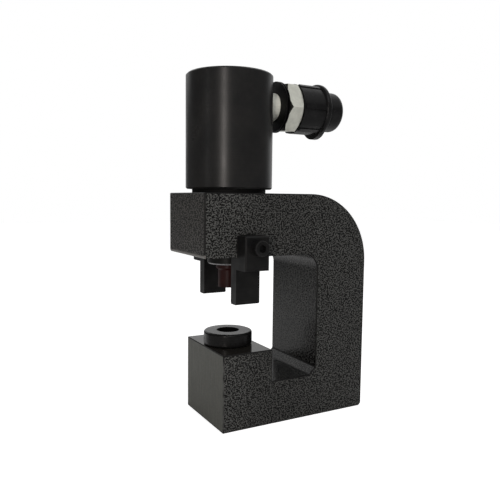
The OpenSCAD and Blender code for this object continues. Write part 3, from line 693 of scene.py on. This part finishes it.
class CoilSprings(bpy.types.Operator):
    """Rounds the wire of the return spring and the valve spring"""

    bl_idname = "punch.coil_springs"
    bl_label = "Coil springs"

    def execute(self, context):
        colours = context.scene.punch_colours
        worn = shaded(colours.wire, 1.4)
        wire = turned_metal("spring_wire", colours.wire, worn, 0.36, metallic=1.0, patch=260.0)
        for name, node, joint, axis in (
            ("return_coil", "return_spring", "ram_slide", Vector((0.0, 0.0, 1.0))),
            ("valve_coil", "valve_spring", "valve_slide", Vector((1.0, 0.0, 0.0))),
        ):
            piece = merged_copy(node, name)
            select_only(piece)
            bpy.ops.object.modifier_add(type="SUBSURF")
            piece.modifiers[-1].levels = piece.modifiers[-1].render_levels = 1
            bpy.ops.object.modifier_apply(modifier=piece.modifiers[-1].name)
            bpy.ops.object.shade_smooth()
            give(piece, wire)
            finish_piece(piece, "frame", node)
            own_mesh(piece)
        return {"FINISHED"}


class DustCap(bpy.types.Operator):
    """Softens the edges of the grip ribs of the dust cap and gives those roundings a painted highlight"""

    bl_idname = "punch.dust_cap"
    bl_label = "Dust cap"

    def execute(self, context):
        sizes, colours = context.scene.punch_sizes, context.scene.punch_colours
        piece = merged_copy("dust_cap", "ribbed_cap")
        low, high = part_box("coupler_body")
        axis_height = (low.z + high.z) / 2
        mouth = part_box("dust_cap")[0].x + 0.1 * MM
        rib_foot = sizes.cap_wall_radius + 0.3 * MM

        def on_rib(index):
            place = points[index]
            radius = math.hypot(place.y, place.z - axis_height)
            return radius > rib_foot and place.x < sizes.cap_rib_end

        def rib_edge(edge):
            ends = list(edge.vertices)
            from_mouth = any(points[index].x < mouth for index in ends)
            return edge.index in sharp and from_mouth and all(on_rib(index) for index in ends)

        flattened(piece, 0.2)
        done_editing()
        points = [vertex.co.copy() for vertex in piece.data.vertices]
        sharp = sharp_edges(piece, 40.0)
        # The second material, four times lighter plastic, is a painted highlight on the rounded rib edges
        give(
            piece,
            moulded("cap_plastic", shaded(colours.plastic, 1.3), 0.29, specular=0.12),
            moulded("rubbed_plastic", shaded(colours.plastic, 4.0), 0.26, specular=0.3),
        )
        editing(piece, "EDGE")
        pick(piece, "edges", rib_edge)
        bpy.ops.mesh.bevel(
            offset=sizes.cap_rib_rounding, segments=2, affect="EDGES", clamp_overlap=False, material=1
        )
        done_editing()
        smoothed(piece, 35.0)
        finish_piece(piece, "cap", "dust_cap")
        return {"FINISHED"}


class SocketScrews(bpy.types.Operator):
    """Models one knurled socket-head screw and sets a copy on each stripper"""

    bl_idname = "punch.socket_screws"
    bl_label = "Socket screws"

    def execute(self, context):
        sizes, colours = context.scene.punch_sizes, context.scene.punch_colours
        low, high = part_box("stripper_screws")
        plate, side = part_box("far_stripper")[1].y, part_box("c_frame")[1].y
        head_radius, head_height = (high.x - low.x) / 2, high.y - plate
        shank = plate - side + sizes.shank_grip
        middle = Vector(((low.x + high.x) / 2, plate, (low.z + high.z) / 2))

        screw = self.blank(context, sizes, colours, head_radius, head_height, shank)
        self.knurl(screw, sizes, head_radius, head_height)
        self.cut_socket(context, screw, sizes, head_height)
        smoothed(screw, 25.0)
        for name, sign in (("near_socket_screw", -1.0), ("far_socket_screw", 1.0)):
            piece = screw.copy()
            piece.data = screw.data.copy()
            piece.name = name
            context.scene.collection.objects.link(piece)
            turned = Matrix.Rotation(-sign * math.pi / 2, 4, "X")
            moved = Matrix.Translation((middle.x, sign * middle.y, middle.z))
            piece.data.transform(moved @ turned)
            finish_piece(piece, "frame", "stripper_screws")
        select_only(screw)
        bpy.ops.object.delete()
        return {"FINISHED"}

    def blank(self, context, sizes, colours, head_radius, head_height, shank):
        """A head with a rounded rim on a chamfered shank, upright on the origin"""
        select_none()
        bpy.ops.mesh.primitive_cylinder_add(
            vertices=2 * sizes.head_ridges, radius=head_radius, depth=head_height,
            location=(0.0, 0.0, head_height / 2),
        )
        screw = context.active_object
        # The second material, oxide 2.2 times lighter, is a painted highlight on the rounded rim of the head
        give(screw, milled_oxide("screw_oxide", colours), milled_oxide("screw_rim_oxide", colours, 2.2))
        bpy.ops.object.transform_apply(location=True, rotation=True, scale=True)
        editing(screw, "FACE")
        pick(screw, "polygons", lambda face: face.normal.z < -0.9)
        bpy.ops.mesh.inset(thickness=head_radius - sizes.shank_radius)
        bpy.ops.mesh.extrude_region_move(TRANSFORM_OT_translate={"value": (0.0, 0.0, -shank)})
        bpy.ops.mesh.bevel(offset=sizes.shank_chamfer, segments=1, affect="EDGES")
        pick(screw, "polygons", lambda face: face.normal.z > 0.9)
        bpy.ops.mesh.bevel(offset=sizes.head_rounding, segments=3, affect="EDGES", material=1)
        done_editing()
        return screw

    def knurl(self, screw, sizes, head_radius, head_height):
        """Draws every second upright of the head in, which leaves the ridges of the knurl"""
        hair = 0.01 * MM
        step = math.pi / sizes.head_ridges

        def valley(vertex):
            place = vertex.co
            if not -hair < place.z < head_height - sizes.head_rounding + hair:
                return False
            if math.hypot(place.x, place.y) < head_radius - ON_FACE:
                return False
            return round(math.atan2(place.y, place.x) / step) % 2 == 1

        editing(screw)
        pick(screw, "vertices", valley)
        drawn = 1.0 - sizes.head_ridge_depth / head_radius
        bpy.ops.transform.resize(value=(drawn, drawn, 1.0), center_override=(0.0, 0.0, 0.0))
        done_editing()

    def cut_socket(self, context, screw, sizes, head_height):
        """Cuts the hexagon socket half way down the head"""
        select_none()
        bpy.ops.mesh.primitive_cylinder_add(
            vertices=6, radius=sizes.socket_across / math.sqrt(3.0), depth=head_height,
            location=(0.0, 0.0, head_height),
        )
        key = context.active_object
        select_only(screw)
        bpy.ops.object.modifier_add(type="BOOLEAN")
        cut = screw.modifiers[-1]
        cut.operation = "DIFFERENCE"
        cut.object = key
        cut.solver = "EXACT"
        bpy.ops.object.modifier_apply(modifier=cut.name)
        select_only(key)
        bpy.ops.object.delete()


class NodeFinishes(bpy.types.Operator):
    """Gives every solid that stays as it is its finish"""

    bl_idname = "punch.node_finishes"
    bl_label = "Node finishes"

    def execute(self, context):
        sizes, colours = context.scene.punch_sizes, context.scene.punch_colours
        punch, pale, black = colours.punch, colours.plated, colours.plastic
        milled = milled_oxide("milled_oxide", colours)
        steel = turned_metal(
            "turned_steel", colours.steel, shaded(colours.steel, 1.25), 0.28, metallic=1.0
        )
        bronze = turned_metal(
            "turned_bronze", colours.bronze, shaded(colours.bronze, 1.2), 0.3, metallic=1.0
        )
        plated = plated_steel(colours)
        seal = moulded("moulded_seal", colours.seal, 0.42)
        finishes = {
            "barrel": barrel_oxide(colours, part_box("c_frame")[1].z),
            "barrel_lock_screw": milled,
            "guide_bush": bronze,
            "rod_wiper": seal,
            "spring_seat": steel,
            "piston_ram": steel,
            "piston_seal": seal,
            "backup_ring": moulded("backup_plastic", colours.backup, 0.5),
            "piston_guide_ring": bronze,
            "punch_nut": nut_phosphate(colours),
            "punch": turned_metal(
                "punch_steel", shaded(punch, 0.7), shaded(punch, 1.2), 0.40, specular=0.14, patch=120.0
            ),
            "lower_die": die_oxide(colours, sizes),
            "die_lock_screw": milled,
            "near_stripper": milled,
            "far_stripper": milled,
            "port_seal": bronze,
            "port_nipple": turned_metal(
                "nipple_steel", shaded(pale, 1.05), shaded(pale, 1.3), 0.42, axis=0
            ),
            "tether_ring": moulded(
                "tether_plastic", shaded(black, 0.3), 0.34, specular=0.08, grain_height=0.002 * MM
            ),
            "coupler_body": plated,
            "coupler_o_ring": moulded("ring_rubber", colours.rubber, 0.5, specular=0.35),
            "valve_guide": steel,
            "valve_poppet": plated,
        }
        for node, material in finishes.items():
            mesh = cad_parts[node].data
            for index in range(len(mesh.materials)):
                mesh.materials[index] = material
        return {"FINISHED"}


# Stage


def softbox(name, place, target, size, watts, colour=(1.0, 1.0, 1.0)):
    """A rectangular lamp at a place, turned to a target"""
    place, target = Vector(place), Vector(target)
    aim = (target - place).to_track_quat("-Z", "Y").to_euler()
    bpy.ops.object.light_add(type="AREA", location=place, rotation=aim)
    lamp = bpy.context.active_object
    lamp.name = name
    lamp.data.shape = "RECTANGLE"
    lamp.data.size, lamp.data.size_y = size
    lamp.data.energy = watts
    lamp.data.color = colour


class Stage(bpy.types.Operator):
    """Sets the camera, the pale floor, the surroundings and the lamps"""

    bl_idname = "punch.stage"
    bl_label = "Stage"

    def execute(self, context):
        stage = context.scene.punch_stage
        context.scene.view_settings.view_transform = "Standard"
        self.camera(context, stage)
        self.floor(context, stage)
        self.surroundings(context, stage)
        for name, values in LAMPS.items():
            softbox(name, **values)
        return {"FINISHED"}

    def camera(self, context, stage):
        """A camera at the angle of the photograph, from its yaw, pitch and roll"""
        yaw, pitch, roll = stage.camera_yaw, stage.camera_pitch, stage.camera_roll
        along = Vector((math.sin(yaw), math.cos(yaw), 0.0))
        right = Vector((math.cos(yaw), -math.sin(yaw), 0.0))
        up = Vector((0.0, 0.0, 1.0))
        forward = along * math.cos(pitch) - up * math.sin(pitch)
        lifted = along * math.sin(pitch) + up * math.cos(pitch)
        rolled_right = right * math.cos(roll) + lifted * math.sin(roll)
        rolled_up = lifted * math.cos(roll) - right * math.sin(roll)
        bpy.ops.object.camera_add(location=stage.camera_place)
        camera = context.active_object
        camera.name = "photo_camera"
        camera.data.sensor_fit = "HORIZONTAL"
        camera.data.sensor_width = SENSOR_WIDTH
        camera.data.lens = stage.camera_lens
        camera.data.clip_start = 10.0 * MM
        turned = Matrix((rolled_right, rolled_up, -forward)).transposed().to_4x4()
        camera.matrix_world = Matrix.Translation(stage.camera_place) @ turned
        context.scene.camera = camera

    def floor(self, context, stage):
        """A pale floor that the camera sees as white and that glows in mirrors only near the object"""
        select_none()
        bpy.ops.mesh.primitive_plane_add(
            size=stage.floor_size, location=(0.0, 0.0, -stage.floor_drop)
        )
        floor = context.active_object
        floor.name = "floor"
        finish = Finish("pale_floor", roughness=0.9, specular=0.1)
        grain = finish.noise(40.0, detail=3.0)
        finish.out(finish.blend(grain, shaded(stage.floor_colour, 0.98), stage.floor_colour))

        rays = finish.node("LightPath").outputs
        away = (math.sin(stage.camera_yaw), math.cos(stage.camera_yaw), 0.0)
        depth = finish.along(finish.place, away)
        behind = finish.between(depth, 0.0, stage.mirror_start, 0.0, stage.floor_mirror)
        reach = stage.mirror_reach
        near = finish.between(finish.size(finish.place), reach, 0.5 * reach)
        mirrored = finish.both(rays["Is Glossy Ray"], near, behind)
        direct = finish.sum("MAXIMUM", rays["Is Camera Ray"], rays["Is Transmission Ray"])
        seen = finish.sum("MAXIMUM", direct, mirrored)
        glow = finish.node("Emission", {"Strength": finish.sum("MULTIPLY", seen, stage.floor_lift)})
        surface = finish.node("AddShader", {0: finish.shader.outputs[0], 1: glow.outputs[0]})
        finish.put(finish.tree.nodes["Material Output"], {"Surface": surface.outputs[0]})
        give(floor, finish.material)

    def surroundings(self, context, stage):
        """A white room that is dimmer where the camera stands; what is looked at directly is white"""
        world = bpy.data.worlds.new("studio")
        context.scene.world = world
        world.use_nodes = True
        room = Nodes(world.node_tree)
        yaw = stage.camera_yaw + stage.back_turn
        towards = (math.sin(yaw), math.cos(yaw), stage.back_rise)
        facing = room.along(room.node("TexCoord").outputs["Generated"], towards)
        level = room.between(
            facing, stage.back_dim, stage.back_full, stage.front_light, stage.back_light
        )
        rays = room.node("LightPath").outputs
        direct = room.sum("MAXIMUM", rays["Is Camera Ray"], rays["Is Transmission Ray"])
        white = {"Color": (1.0, 1.0, 1.0, 1.0), "Strength": room.mix(direct, level, 1.0)}
        room.put(world.node_tree.nodes["Background"], white)


# Panel and run


class PunchPanel(bpy.types.Panel):
    """Lists the pieces of the hole punch and the values behind them"""

    bl_idname = "VIEW3D_PT_hole_punch"
    bl_label = "Hole punch"
    bl_space_type = "VIEW_3D"
    bl_region_type = "UI"
    bl_category = "Hole punch"

    def draw(self, context):
        for operator in OPERATORS:
            self.layout.operator(operator.bl_idname)
        for group in GROUPS:
            box = self.layout.box()
            settings = getattr(context.scene, group)
            for name in settings.__annotations__:
                box.prop(settings, name)


GROUPS = {"punch_sizes": PunchSizes, "punch_colours": PunchColours, "punch_stage": PunchStage}
OPERATORS = (FrameForging, CoilSprings, DustCap, SocketScrews, NodeFinishes, Stage)


def register():
    for made in (*GROUPS.values(), *OPERATORS, PunchPanel):
        bpy.utils.register_class(made)
    for name, group in GROUPS.items():
        setattr(bpy.types.Scene, name, PointerProperty(type=group))


def unregister():
    for name in GROUPS:
        delattr(bpy.types.Scene, name)
    for made in reversed((*GROUPS.values(), *OPERATORS, PunchPanel)):
        bpy.utils.unregister_class(made)


def main():
    register()
    bpy.ops.punch.frame_forging()
    bpy.ops.punch.coil_springs()
    bpy.ops.punch.dust_cap()
    bpy.ops.punch.socket_screws()
    bpy.ops.punch.node_finishes()
    bpy.ops.punch.stage()


if __name__ == "__main__":
    main()
